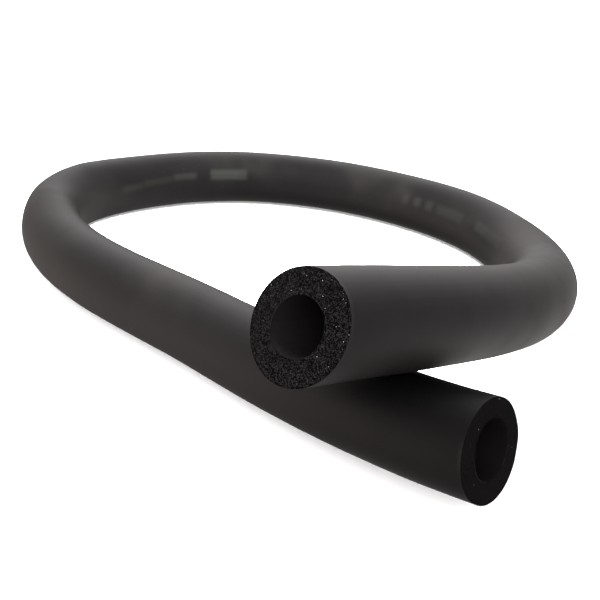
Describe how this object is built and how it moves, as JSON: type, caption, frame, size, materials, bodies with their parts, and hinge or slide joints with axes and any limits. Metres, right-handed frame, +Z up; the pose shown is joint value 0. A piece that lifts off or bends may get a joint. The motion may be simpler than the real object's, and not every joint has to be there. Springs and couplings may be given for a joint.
{
  "type": "pipe insulation lagging tube",
  "caption": "Black closed-cell rubber foam tube with a thick wall and round bore, laid in an open loop with one end resting over the other.",
  "frame": {"origin": "on the floor, under the middle of the box that encloses the looped tube", "axes": "+Z up from the floor; +Y from the crossing of the two tails across the loop to its far side, which is its longest extent; +X to the right as the picture looks at it"},
  "size_m": [0.6884, 0.6936, 0.1841],
  "materials": {
    "foam_rubber": "matte moulded skin, open cells on the cut ends"
  },
  "bodies": {
    "root": {"lagging_tube": "foam_rubber"}
  },
  "joints": []
}
